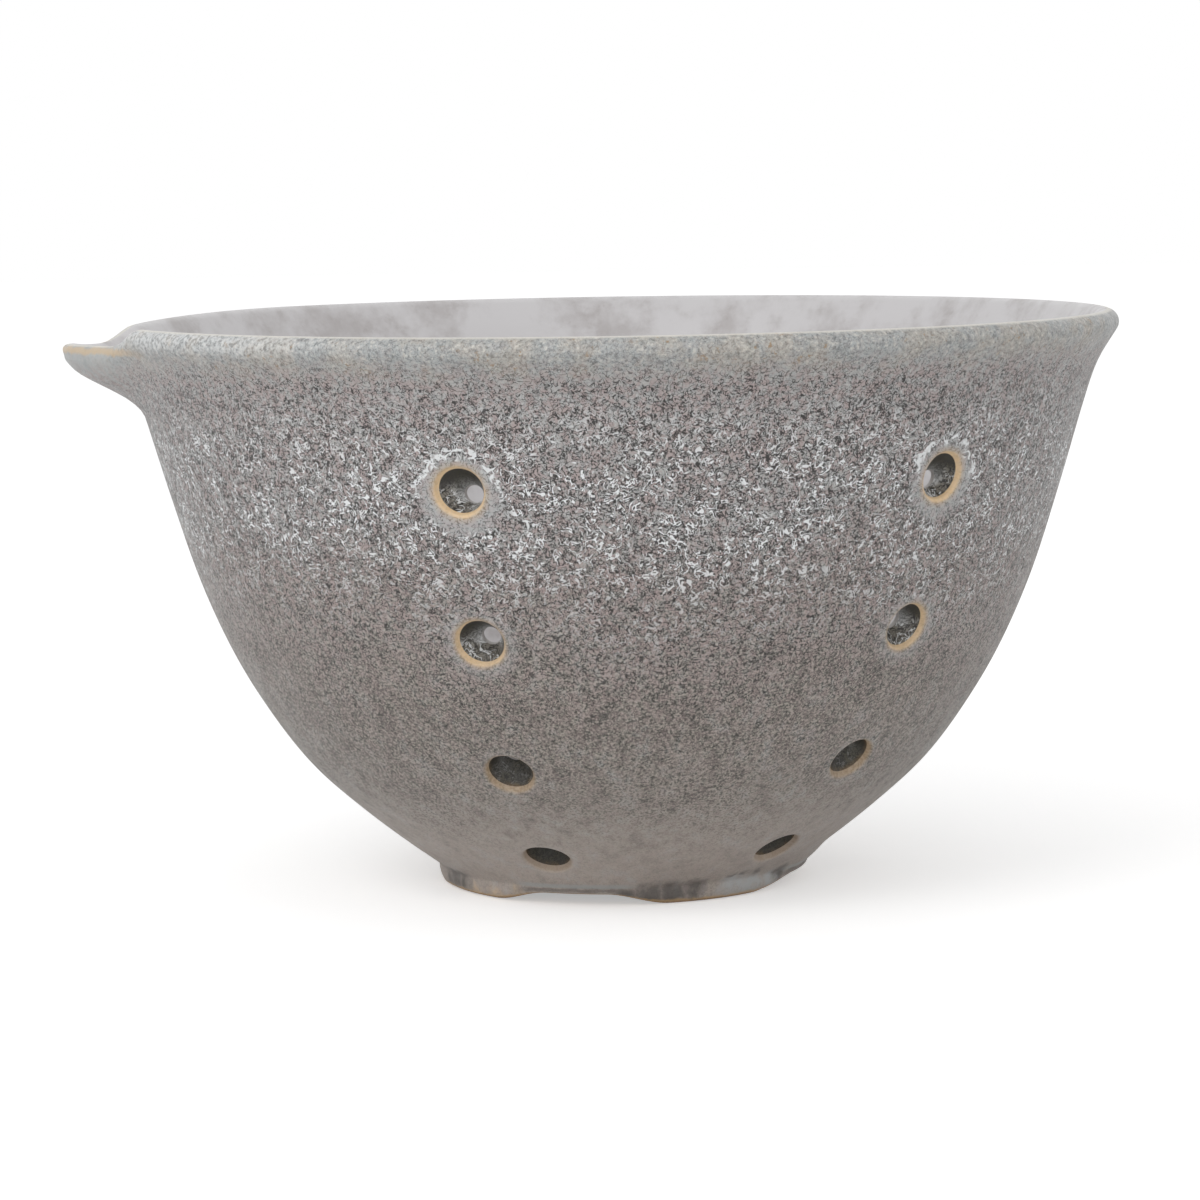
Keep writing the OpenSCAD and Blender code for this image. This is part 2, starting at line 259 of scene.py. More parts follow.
class WallCurve:
    """The outside of the wall as a smooth curve of radius and height, from the foot (place 0) to the rim."""

    def __init__(self, bowl, foot):
        self.bowl = bowl
        self.foot = foot
        self.rim = Vector((bowl.rim_across / 2 - bowl.lip / 2, bowl.height - bowl.lip / 2))
        end = self.rim + bowl.lip / 2 * Vector((math.cos(RIM_LEAN), -math.sin(RIM_LEAN)))
        start = Vector((foot.across / 2, foot.height))
        knots = [Vector((mix(start.x, end.x, a), mix(start.y, end.y, b))) for a, b in WALL_SHARES] + [end]
        before = 2 * knots[0] - knots[1]
        after = end + (knots[-1] - knots[-2]).length * Vector((math.sin(RIM_LEAN), math.cos(RIM_LEAN)))
        self.last = len(knots) - 1
        self.knots = [before] + knots + [after]
        self.floor_height = foot.height + bowl.floor

    def around(self, place):
        """The four knots about a place, and how far it lies between the middle two."""
        i = min(int(place), self.last - 1)
        return self.knots[i:i + 4], place - i

    def outside(self, place):
        """The point of the outside at a place."""
        (a, b, c, d), t = self.around(place)
        return 0.5 * (2 * b + (c - a) * t + (2 * a - 5 * b + 4 * c - d) * t ** 2
                      + (3 * b - a - 3 * c + d) * t ** 3)

    def normal(self, place):
        """The direction out of the wall at a place."""
        (a, b, c, d), t = self.around(place)
        heading = (c - a) + 2 * (2 * a - 5 * b + 4 * c - d) * t + 3 * (3 * b - a - 3 * c + d) * t ** 2
        return Vector((heading.y, -heading.x)).normalized()

    def raw_inside(self, place):
        """The point of the inside at a place, before the floor's blend."""
        thickness = mix(self.bowl.wall, self.bowl.lip, ease(place / self.last))
        return self.outside(place) - thickness * self.normal(place)

    def eased(self, point):
        """A point of the inside, eased into the flat floor."""
        z, blend = self.floor_height, self.bowl.floor_blend
        if point.y >= z + blend:
            return point
        if point.y <= z - blend:
            return Vector((point.x, z))
        return Vector((point.x, z + (point.y - z + blend) ** 2 / (4 * blend)))

    def at_height(self, height):
        """The place at which the outside has a height."""
        low, high = 0.0, float(self.last)
        for _ in range(50):
            middle = (low + high) / 2
            if self.outside(middle).y < height:
                low = middle
            else:
                high = middle
        return (low + high) / 2

    def steps(self, start, end, cell):
        """Places from start up to end, end left out, about a cell apart along the curve."""
        fine = [mix(start, end, k / FINE_STEPS) for k in range(FINE_STEPS + 1)]
        runs = [0.0]
        for a, b in zip(fine, fine[1:]):
            runs.append(runs[-1] + (self.outside(b) - self.outside(a)).length)
        count = max(1, round(runs[-1] / cell))
        places = []
        for n in range(count):
            goal = runs[-1] * n / count
            k = max(i for i in range(FINE_STEPS) if runs[i] <= goal + 1e-12)
            places.append(mix(fine[k], fine[k + 1], (goal - runs[k]) / (runs[k + 1] - runs[k])))
        return places


class SkinRow:
    """One row of the skin: its radius and height, its region and how far it belongs to the inside."""

    def __init__(self, point, region, side):
        self.point = Vector(point)
        self.region = region
        self.side = side


def foot_side(foot, height):
    """Radius of the foot's outside at a height, rounded in towards the table."""
    low = max(0.0, 1 - height / foot.roll_height)
    return foot.across / 2 - foot.roll * (1 - math.sqrt(max(0.0, 1 - low * low)))


def skin_rows(bowl, foot, curve):
    """The skin's section from the foot's bare edge up, over the rim, down inside and into the floor's hole.

    It also gives the outside's and the inside's row number at each row of holes.
    """
    stops = [0.0] + [curve.at_height(share * bowl.height) for share in ROW_SHARES] + [float(curve.last)]
    places = []
    for start, end in zip(stops, stops[1:]):
        places += curve.steps(start, end, WALL_CELL)
    rows = []
    for share in FOOT_ROW_SHARES:
        height = mix(foot.bare, foot.height, share)
        rows.append(SkinRow((foot_side(foot, height), height), OUTSIDE, 0.0))
    first = len(rows)
    rows += [SkinRow(curve.outside(place), OUTSIDE, 0.0) for place in places]
    lean = math.degrees(RIM_LEAN)
    for turn in range(-round(lean), 181 - round(lean), RIM_STEP):
        a = math.radians(turn)
        point = curve.rim + bowl.lip / 2 * Vector((math.cos(a), math.sin(a)))
        rows.append(SkinRow(point, OUTSIDE if turn < 90 else INSIDE, (turn + lean) / 180))
    turned = len(rows)
    rows += [SkinRow(curve.eased(curve.raw_inside(place)), INSIDE, 1.0) for place in reversed(places)]
    outer_rows = [first + places.index(stop) for stop in stops[1:-1]]
    inner_rows = [turned + len(places) - 1 - places.index(stop) for stop in stops[1:-1]]
    rows += floor_rows(bowl, foot, curve, places[1])
    return rows, outer_rows, inner_rows


def floor_rows(bowl, foot, curve, near_place):
    """The rows that run on from the wall's foot into the flat floor, and down the hole in its middle."""
    low = curve.raw_inside(0.0)
    slope = (curve.raw_inside(near_place) - low).normalized()
    run = max(0.0, low.y - (curve.floor_height - bowl.floor_blend)) / slope.y
    rows = [SkinRow(curve.eased(low - run * k / 3 * slope), INSIDE, 1.0) for k in (1, 2, 3)]
    flat = rows[-1].point
    edge = bowl.hole_edge
    mouth = bowl.hole_across / 2 + edge
    for share in FLOOR_ROW_SHARES:
        rows.append(SkinRow((mix(flat.x, mouth, share), flat.y), INSIDE, 1.0))
    for turn in EDGE_TURNS[:-1]:
        a = math.radians(turn)
        rows.append(SkinRow((mouth - edge * math.sin(a), flat.y - edge * (1 - math.cos(a))), INSIDE, 1.0))
    bottom = foot.height - bowl.coat
    for share in DRAIN_ROW_SHARES:
        rows.append(SkinRow((bowl.hole_across / 2, mix(flat.y - edge, bottom, share)), BORE, 1.0))
    return rows


class HoleFrame:
    """A drain hole's place: its middle outside, the way out, up and across it, and where its bore aims."""

    def __init__(self, curve, bowl, plan, share, lean):
        place = curve.at_height(share * bowl.height)
        point, out = curve.outside(place), curve.normal(place)
        c, s = math.cos(plan), math.sin(plan)
        self.middle = Vector((AXIS_X + point.x * c, point.x * s, point.y))
        self.out = Vector((out.x * c, out.x * s, out.y))
        self.across = Vector((-s, c, 0.0))
        self.up = self.out.cross(self.across)
        self.thickness = (point - curve.raw_inside(place)).length
        low, high = FALL_SHARES
        slant = ease((share - low) / (high - low))
        self.aim = lean * slant * self.across - mix(-bowl.hole_rise, bowl.hole_fall, slant) * self.up

    def inner(self):
        """The same hole with its middle moved along the wall, to where its inner mouth lies."""
        other = copy.copy(self)
        other.middle = self.middle + self.aim
        return other

    def turn_of(self, point):
        """The angle of a point round the hole."""
        offset = point - self.middle
        return math.atan2(offset.dot(self.up), offset.dot(self.across))

    def spot(self, radius, turn, height):
        """A point at a radius and an angle round the hole, and a height above its middle."""
        aside = math.cos(turn) * self.across + math.sin(turn) * self.up
        return self.middle + radius * aside + height * self.out

    def surface(self, tree, radius, turn, sign):
        """Height of the outer face (sign 1) or the inner face (sign -1) of the wall over a spot."""
        start = self.spot(radius, turn, -self.thickness / 2)
        hit = tree.ray_cast(start, sign * self.out)[0]
        return (hit - self.middle).dot(self.out)


def patch_border(patch_columns):
    """Steps in rows and columns from a hole's middle to each cell corner on its patch's border, in order."""
    k, m = PATCH_ROWS, patch_columns
    bottom = [(-k, c) for c in range(-m, m)]
    right = [(r, m) for r in range(-k, k)]
    top = [(k, -c) for c in range(-m, m)]
    left = [(-r, -m) for r in range(-k, k)]
    return bottom + right + top + left


def edges_round(corners):
    """The edges between neighbours of a closed row of corners."""
    pairs = zip(corners, corners[1:] + corners[:1])
    return [next(e for e in a.link_edges if e.other_vert(a) is b) for a, b in pairs]


def next_ring(bm, corners, spots, region):
    """Grows a closed row of corners by one ring of faces, and moves the new corners to their spots."""
    new = bmesh.ops.extrude_edge_only(bm, edges=edges_round(corners))["geom"]
    fresh = {g for g in new if isinstance(g, bmesh.types.BMVert)}
    row_of = bm.verts.layers.int["row"]
    for corner in fresh:
        corner[row_of] = OFF_GRID
    for face in (g for g in new if isinstance(g, bmesh.types.BMFace)):
        face.material_index = region
    ring = [next(e.other_vert(v) for e in v.link_edges if e.other_vert(v) in fresh) for v in corners]
    for corner, spot in zip(ring, spots):
        corner.co = spot
    return ring


def round_mouth(bm, tree, hole, corners, radius, edge, sign, region):
    """Leads a patch's border in to a round mouth with a rounded edge, and gives the last ring of corners."""
    count = len(corners)
    turns = [hole.turn_of(corner.co) for corner in corners]
    way = 1 if math.sin(turns[1] - turns[0]) > 0 else -1
    spread = [way * 2 * math.pi * k / count for k in range(count)]
    offs = [math.remainder(turn - base, 2 * math.pi) for turn, base in zip(turns, spread)]
    start = offs[0] + sum(math.remainder(o - offs[0], 2 * math.pi) for o in offs) / count
    angles = [start + base for base in spread]
    # A ring of straight edges is drawn a little wide, so that its smoothed shape has the radius meant
    wide = 1 / math.cos(math.pi / count)
    steps = [(radius + FIRST_RING_SHARE * edge, 0.0)]
    for turn in EDGE_TURNS:
        a = math.radians(turn)
        steps.append((radius + edge * (1 - math.sin(a)), edge * (1 - math.cos(a))))
    for size, depth in steps:
        heights = [hole.surface(tree, size * wide, a, sign) - sign * depth for a in angles]
        spots = [hole.spot(size * wide, a, h) for a, h in zip(angles, heights)]
        corners = next_ring(bm, corners, spots, region)
    return corners


def bore_hole(bm, tree, hole, centre, out_row, in_row, bowl):
    """Cuts one drain hole through the skin: a round mouth outside and inside, and a bore between them."""
    corner_at = grid_corners(bm)
    radius = math.hypot(hole.middle.x - AXIS_X, hole.middle.y)
    patch_columns = math.ceil(PATCH_REACH / (radius * 2 * math.pi / COLUMNS))
    border = patch_border(patch_columns)
    outer = [corner_at[out_row + r, (centre + c) % COLUMNS] for r, c in border]
    inner = [corner_at[in_row - r, (centre + c) % COLUMNS] for r, c in border]
    lost = [corner_at[row + r, (centre + c) % COLUMNS] for row in (out_row, in_row)
            for r in range(1 - PATCH_ROWS, PATCH_ROWS) for c in range(1 - patch_columns, patch_columns)]
    bmesh.ops.delete(bm, geom=lost, context="VERTS")
    outer = round_mouth(bm, tree, hole, outer, bowl.hole_across / 2, bowl.hole_edge, 1, OUTSIDE)
    narrow = bowl.hole_inside / 2
    inner = round_mouth(bm, tree, hole.inner(), inner, narrow, bowl.hole_edge_inside, -1, INSIDE)
    bridge = bmesh.ops.bridge_loops(bm, edges=edges_round(outer) + edges_round(inner))
    for face in bridge["faces"]:
        face.material_index = BORE
    ends = set(outer) | set(inner)
    along = [e for e in bridge["edges"] if e.verts[0] in ends and e.verts[1] in ends]
    bmesh.ops.subdivide_edges(bm, edges=along, cuts=1)


def spin(bm, corners, lines):
    """Spins a section once round the bowl's axis."""
    bmesh.ops.spin(bm, geom=corners + lines, cent=(AXIS_X, 0, 0), axis=(0, 0, 1), dvec=(0, 0, 0),
                   angle=2 * math.pi, steps=COLUMNS, use_merge=True, use_duplicate=False)


def spin_skin(rows):
    """The section spun round the bowl's axis, with each corner's row and each face's region."""
    bm = bmesh.new()
    row_of = bm.verts.layers.int.new("row")
    side_of = bm.verts.layers.float.new("side")
    corners = []
    for number, row in enumerate(rows):
        corner = bm.verts.new((AXIS_X + row.point.x, 0.0, row.point.y))
        corner[row_of] = number
        corner[side_of] = row.side
        corners.append(corner)
    spin(bm, corners, [bm.edges.new(pair) for pair in zip(corners, corners[1:])])
    for face in bm.faces:
        face.material_index = rows[min(corner[row_of] for corner in face.verts)].region
    return bm


def grid_corners(bm):
    """The skin's corners by row and column, without those of the holes already cut."""
    row_of = bm.verts.layers.int["row"]
    corner_at = {}
    for corner in bm.verts:
        if corner[row_of] != OFF_GRID:
            turn = math.atan2(corner.co.y, corner.co.x - AXIS_X)
            corner_at[corner[row_of], round(turn * COLUMNS / (2 * math.pi)) % COLUMNS] = corner
    return corner_at


def arch_share(foot, radius, turn):
    """How far a place at a radius and a plan angle lies in an arch, and how far its corner is filled."""
    best, filled = 0.0, 0.0
    for arch, fill in zip(ARCHES, ARCH_FILLS):
        off = turn - math.radians(arch)
        if math.cos(off) > 0:
            aside = abs(radius * math.sin(off)) - foot.arch_crown / 2
            share = 1 - ease(aside / ((foot.arch_width - foot.arch_crown) / 2))
            best, filled = max(best, share), max(filled, share * fill)
    return best, filled


def shape_foot(foot, point):
    """A point of the foot's skin with the arches' lift, their scoop and the soft corner over them."""
    offset = Vector((point.x - AXIS_X, point.y))
    radius = offset.length
    share, filled = arch_share(foot, radius, math.atan2(offset.y, offset.x))
    outer = ease((radius - foot.across / 2 + foot.width) / foot.width)
    low = max(0.0, 1 - point.z / foot.height)
    away = min(1.0, max(0.0, point.z - foot.height) / foot.fill_reach)
    push = foot.arch_fill * filled * (1 - away * away) ** 2 - foot.arch_scoop * share * low
    offset *= (radius + push * outer) / radius
    return Vector((AXIS_X + offset.x, offset.y, point.z + foot.arch_height * share * low))


def spout_pull(bowl, spout, point, side):
    """How far a point is pushed out by the spout, and how far it drops."""
    up = (point.z - bowl.height + spout.depth) / spout.depth
    offset = math.remainder(math.atan2(point.y, point.x - AXIS_X) - math.pi, 2 * math.pi)
    across = abs(offset) / (spout.angle / 2)
    sag_full, sag_end = FAR_SAG_SHARES
    if up <= 0 or across >= sag_end:
        return 0.0, 0.0
    channel = math.cos(math.pi / 2 * across / CHANNEL_SHARE) ** 2 if across < CHANNEL_SHARE else 0.0
    low_lip = 1 - ease((across - LOW_LIP_SHARE) / (1 - LOW_LIP_SHARE))
    if offset < 0:
        start, end = FAR_LIP_SHARES
        steep = 1 - ease((across - start) / (end - start))
        sagging = 1 - ease(across / sag_end) - steep / 2
        low_lip = steep + spout.sag / spout.drop * ease(across / sag_full) * sagging
    outside = ease(up / OUTSIDE_PUSH_SHARE)
    inside = ease((up - INSIDE_PUSH_SHARE) / (1 - INSIDE_PUSH_SHARE))
    crest = (bowl.height - point.z) / bowl.lip
    drawn = spout.square / spout.reach * channel ** 2 * ease(1 - crest / TIP_FADE_SHARE)
    return channel * mix(outside, inside, side) + drawn, low_lip * ease(up)


def mesh_of(bm, name):
    """A bmesh as a new mesh. It takes the bmesh away."""
    mesh = bpy.data.meshes.new(name)
    bm.to_mesh(mesh)
    bm.free()
    return mesh


def new_piece(mesh, name):
    """An object that carries a mesh, both of one name, linked to the scene."""
    mesh.name = name
    piece = bpy.data.objects.new(name, mesh)
    bpy.context.scene.collection.objects.link(piece)
    return piece


def smooth(bm):
    """Shades every face smooth, in one material."""
    for face in bm.faces:
        face.material_index = 0
        face.smooth = True


def worked(bm, kind, **settings):
    """The mesh of a bmesh after one modifier, as a new mesh. It takes the bmesh away."""
    rough = mesh_of(bm, "rough")
    holder = new_piece(rough, "rough")
    step = holder.modifiers.new("Step", kind)
    for key, value in settings.items():
        setattr(step, key, value)
    graph = bpy.context.evaluated_depsgraph_get()
    fine = bpy.data.meshes.new_from_object(holder.evaluated_get(graph), depsgraph=graph)
    bpy.data.objects.remove(holder)
    bpy.data.meshes.remove(rough)
    return fine


def mark_holes(bm, holes, bowl):
    """Writes how far each corner lies from the nearest drain hole's edge, which side of it, and how deep."""
    layers = bm.verts.layers.float
    marks = [layers.new(name) for name in ("hole_gap", "hole_above", "hole_depth")]
    side_of = layers["side"]
    mouths = [[(hole, bowl.hole_across / 2) for hole in holes],
              [(hole.inner(), bowl.hole_inside / 2) for hole in holes]]
    for corner in bm.verts:
        gap, above, depth = FAR, 0.0, 0.0
        for hole, radius in mouths[corner[side_of] > 0.5]:
            offset = corner.co - hole.middle
            if offset.length_squared > FAR * FAR:
                continue
            out = offset.dot(hole.out)
            flat = offset - out * hole.out
            if flat.length - radius < gap:
                gap = flat.length - radius
                above = flat.dot(hole.up) / max(flat.length, MM)
                depth = -out
        for mark, value in zip(marks, (gap, above, depth)):
            corner[mark] = value


def bored_skin(bowl, foot):
    """The round skin with its drain holes cut, smoothed once and marked round the holes."""
    curve = WallCurve(bowl, foot)
    rows, outer_rows, inner_rows = skin_rows(bowl, foot, curve)
    bm = spin_skin(rows)
    tree = BVHTree.FromBMesh(bm)
    holes = []
    for plan, lean in zip(HOLE_COLUMNS, HOLE_LEANS):
        centre = round(plan * COLUMNS / 360) % COLUMNS
        for share, out_row, in_row in zip(ROW_SHARES, outer_rows, inner_rows):
            hole = HoleFrame(curve, bowl, math.radians(plan), share, lean)
            bore_hole(bm, tree, hole, centre, out_row, in_row, bowl)
            holes.append(hole)
    bmesh.ops.recalc_face_normals(bm, faces=bm.faces[:])
    fine = worked(bm, "SUBSURF", levels=1, render_levels=1)
    bm = bmesh.new()
    bm.from_mesh(fine)
    bpy.data.meshes.remove(fine)
    mark_holes(bm, holes, bowl)
    return bm


def shape_skin(bm, bowl, foot, spout):
    """Pulls the spout out of the round skin and presses the arches into its foot, and marks how far."""
    layers = bm.verts.layers.float
    rise_of, pull_of, arch_of = [layers.new(name) for name in ("rise", "spout_pull", "arch")]
    side_of = layers["side"]
    for corner in bm.verts:
        corner[rise_of] = corner.co.z
        push, drop = spout_pull(bowl, spout, corner.co, corner[side_of])
        corner[pull_of] = max(push, drop)
        offset = Vector((corner.co.x - AXIS_X, corner.co.y, 0.0))
        if push:
            corner.co += offset.normalized() * spout.reach * push
        corner.co.z -= spout.drop * drop
        if corner[side_of] < 0.5:
            corner[arch_of] = arch_share(foot, offset.length, math.atan2(offset.y, offset.x))[0]
            corner.co = shape_foot(foot, corner.co)


def face_out(bm):
    """Turns the skin's faces outwards, and keeps each corner's direction for its shading."""
    bm.normal_update()
    normal_of = bm.verts.layers.float_vector.new("skin_normal")
    widest = max(bm.faces, key=lambda face: face.calc_center_median().x)
    if widest.normal.x < 0:
        bmesh.ops.reverse_faces(bm, faces=bm.faces[:])
        bm.normal_update()
    for corner in bm.verts:
        corner[normal_of] = corner.normal


def bowl_skin(sizes):
    """The bowl's whole glazed skin, with its regions as material numbers. It is kept until a size changes."""
    bowl, foot, spout = sizes.bowl_sizes, sizes.foot_sizes, sizes.spout_sizes
    made_for = str([getattr(part, key) for part in (bowl, foot, spout) for key in part.__annotations__])
    made = bpy.data.meshes.get("bowl_skin")
    if made:
        if made["made_for"] == made_for:
            return made
        bpy.data.meshes.remove(made)
    bm = bored_skin(bowl, foot)
    shape_skin(bm, bowl, foot, spout)
    face_out(bm)
    skin = mesh_of(bm, "bowl_skin")
    skin.use_fake_user = True
    skin["made_for"] = made_for
    return skin


def coat_piece(sizes, name, region):
    """One coat cut out of the skin, thickened inwards and shaded as one surface with its neighbours."""
    bm = bmesh.new()
    bm.from_mesh(bowl_skin(sizes))
    bmesh.ops.delete(bm, geom=[f for f in bm.faces if f.material_index != region], context="FACES")
    smooth(bm)
    count = len(bm.faces)
    mesh = worked(bm, "SOLIDIFY", thickness=sizes.bowl_sizes.coat, offset=-1.0)
    skin_normals = [Vector(item.vector) for item in mesh.attributes["skin_normal"].data]
    shading = [None] * len(mesh.loops)
    for face in mesh.polygons:
        for loop in face.loop_indices:
            own = skin_normals[mesh.loops[loop].vertex_index]
            shading[loop] = own if face.index < count else -own if face.index < 2 * count else face.normal
    mesh.attributes.remove(mesh.attributes["skin_normal"])
    mesh.normals_split_custom_set(shading)
    return new_piece(mesh, name)


def clay_body_mesh(sizes):
    """The thrown clay body as a closed mesh, one coat's thickness under the skin."""
    bm = bmesh.new()
    bm.from_mesh(bowl_skin(sizes))
    rise_of = bm.verts.layers.float["rise"]
    below = [face for face in bm.faces if face.material_index == OUTSIDE
             and sum(corner[rise_of] for corner in face.verts) / len(face.verts) < sizes.foot_sizes.height]
    bmesh.ops.delete(bm, geom=below, context="FACES")
    normal_of = bm.verts.layers.float_vector["skin_normal"]
    for corner in bm.verts:
        corner.co -= corner[normal_of] * sizes.bowl_sizes.coat
    bmesh.ops.bridge_loops(bm, edges=[edge for edge in bm.edges if edge.is_boundary])
    bmesh.ops.recalc_face_normals(bm, faces=bm.faces[:])
    smooth(bm)
    return mesh_of(bm, "clay_body")


def foot_section(foot):
    """The closed section of the foot's clay ring, as radius and height."""
    outer = foot.across / 2 - CLAY_INSET
    inner = foot.across / 2 - foot.width
    edge = foot.edge
    turns = [math.radians(a) for a in FOOT_TURNS]
    section = [(inner, foot.height), (inner, mix(foot.height, edge, 0.5))]
    section += [(inner + edge * (1 - math.cos(a)), edge * (1 - math.sin(a))) for a in turns]
    section += [(mix(inner, outer, 0.5), 0.0)]
    section += [(outer - foot.roll * (1 - math.sin(a)), foot.roll_height * (1 - math.cos(a))) for a in turns]
    return section + [(outer, foot.height)]


def clay_foot_mesh(foot):
    """The foot's clay ring, with its soft arches."""
    bm = bmesh.new()
    corners = [bm.verts.new((AXIS_X + r, 0.0, z)) for r, z in foot_section(foot)]
    spin(bm, corners, [bm.edges.new(pair) for pair in zip(corners, corners[1:] + corners[:1])])
    bmesh.ops.remove_doubles(bm, verts=bm.verts[:], dist=TOUCHING)
    bmesh.ops.recalc_face_normals(bm, faces=bm.faces[:])
    smooth(bm)
    mesh = worked(bm, "SUBSURF", levels=1, render_levels=1)
    for corner in mesh.vertices:
        corner.co = shape_foot(foot, corner.co)
    return mesh


def put(tree, kind, inputs=None, **settings):
    """A node of one kind with its settings, its inputs linked from values or sockets, or set to numbers."""
    node = tree.nodes.new(kind)
    for key, value in settings.items():
        setattr(node, key, value)
    for key, value in (inputs or {}).items():
        if isinstance(value, Value):
            value = value.socket
        if isinstance(value, bpy.types.NodeSocket):
            tree.links.new(value, node.inputs[key])
        else:
            node.inputs[key].default_value = value
    return node


def empty_tree(owner):
    """The node tree of a new material or world, emptied."""
    owner.use_nodes = True
    owner.node_tree.nodes.clear()
    return owner.node_tree


class Value:
    """A number or a place that shader nodes work out, so that masks are written as plain arithmetic."""

    def __init__(self, socket):
        self.socket = socket
        self.tree = socket.id_data

    def maths(self, way, a, b=0.0, clamp=False):
        """One step of arithmetic on two numbers."""
        node = put(self.tree, "ShaderNodeMath", {0: a, 1: b}, operation=way, use_clamp=clamp)
        return Value(node.outputs[0])

    def vector(self, way, inputs, output="Vector"):
        """One step of arithmetic on places."""
        return Value(put(self.tree, "ShaderNodeVectorMath", inputs, operation=way).outputs[output])

    def __add__(self, other):
        return self.maths("ADD", self, other)

    def __sub__(self, other):
        return self.maths("SUBTRACT", self, other)

    def __rsub__(self, other):
        return self.maths("SUBTRACT", other, self)

    def __mul__(self, other):
        return self.maths("MULTIPLY", self, other)

    def less(self, share=1.0):
        """What is left of 1 when a share of this is taken away."""
        return 1.0 - self * share

    def ramp(self, low, high, start=0.0, end=1.0):
        """A number eased from start to end as this goes from low to high."""
        node = put(self.tree, "ShaderNodeMapRange", {"Value": self, "From Min": low, "From Max": high,
                   "To Min": start, "To Max": end}, interpolation_type="SMOOTHSTEP", clamp=True)
        return Value(node.outputs[0])

    def line(self, middle, width, soft):
        """1 where this lies within a width of a middle, with soft edges."""
        return self.maths("ABSOLUTE", self - middle).ramp(width, width + soft, 1.0, 0.0)

    def moved(self, *step):
        """This place moved by a step."""
        return self.vector("ADD", {0: self, 1: step})

    def noise(self, size, detail=3.0, rough=0.6, twist=0.0, output=0):
        """Soft noise at this place, with lumps about a size across."""
        node = put(self.tree, "ShaderNodeTexNoise", {"Vector": self, "Scale": 1 / size, "Detail": detail,
                   "Roughness": rough, "Distortion": twist})
        return Value(node.outputs[output])

    def stirred(self, size, reach):
        """This place stirred by soft noise, by up to about half a reach, so that marks look ragged."""
        swirl = self.noise(size, 3.0, 0.5, output="Color").moved(-0.5, -0.5, -0.5)
        return self.vector("ADD", {0: self, 1: self.vector("SCALE", {0: swirl, "Scale": reach})})

    def spots(self, marks):
        """Soft round spots as one mask, each full within its inner radius and gone at its outer one."""
        mask = 0.0
        for x, y, z, near, far in marks:
            away = self.vector("DISTANCE", {0: self, 1: (x, y, z)}, "Value")
            mask = self.maths("MAXIMUM", mask, away.ramp(near, far, 1.0, 0.0))
        return mask


class Surface:
    """A material whose colour is laid on in layers, each through a mask. Its lengths are in millimetres."""

    def __init__(self, name, colours, first):
        self.material = bpy.data.materials.new(name)
        self.tree = empty_tree(self.material)
        self.shader = put(self.tree, "ShaderNodeBsdfPrincipled")
        put(self.tree, "ShaderNodeOutputMaterial", {"Surface": self.shader.outputs[0]})
        metres = Value(put(self.tree, "ShaderNodeTexCoord").outputs["Object"])
        self.place = metres.vector("SCALE", {0: metres, "Scale": 1 / MM})
        self.colours = colours
        self.base = self.colour(first)

    def share(self, name):
        """A number kept on the piece's own corners."""
        node = put(self.tree, "ShaderNodeAttribute", attribute_name=name, attribute_type="GEOMETRY")
        return Value(node.outputs["Fac"])

    def length(self, name):
        """A length kept on the piece's own corners."""
        return self.share(name) * (1 / MM)

    def colour(self, name):
        """One of the bowl's colours, for a node."""
        return (*getattr(self.colours, name), 1.0)

    def mixed(self, mask, a, b):
        """Two colours mixed through a mask."""
        return Value(put(self.tree, "ShaderNodeMix", {0: mask, 6: a, 7: b}, data_type="RGBA").outputs[2])

    def lay(self, name, mask):
        """Lays a colour over what is there, through a mask."""
        self.base = self.mixed(mask, self.base, self.colour(name))

    def relief(self, height, strength, depth):
        """Joins a fine relief to the shader."""
        bump = put(self.tree, "ShaderNodeBump", {"Height": height, "Strength": strength,
                                                 "Distance": depth * MM})
        self.tree.links.new(bump.outputs[0], self.shader.inputs["Normal"])

    def finish(self, roughness):
        """Joins the colour and a roughness to the shader, and gives the material."""
        self.tree.links.new(self.base.socket, self.shader.inputs["Base Color"])
        self.tree.links.new(roughness.socket, self.shader.inputs["Roughness"])
        return self.material


def group_masks(tree, name, inputs, fill):
    """Adds a shared node group to a tree, filled at its first use, and gives its masks by name."""
    inner = bpy.data.node_groups.get(name)
    if not inner:
        inner = bpy.data.node_groups.new(name, "ShaderNodeTree")
        for label in inputs:
            kind = "NodeSocketVector" if label == "Place" else "NodeSocketFloat"
            inner.interface.new_socket(label, in_out="INPUT", socket_type=kind)
        given = inner.nodes.new("NodeGroupInput").outputs
        masks = fill(*(Value(given[label]) for label in inputs))
        for label in masks:
            inner.interface.new_socket(label, in_out="OUTPUT", socket_type="NodeSocketFloat")
        result = inner.nodes.new("NodeGroupOutput").inputs
        for label, mask in masks.items():
            inner.links.new(mask.socket, result[label])
    node = put(tree, "ShaderNodeGroup", inputs, node_tree=inner)
    return {socket.name: Value(socket) for socket in node.outputs}


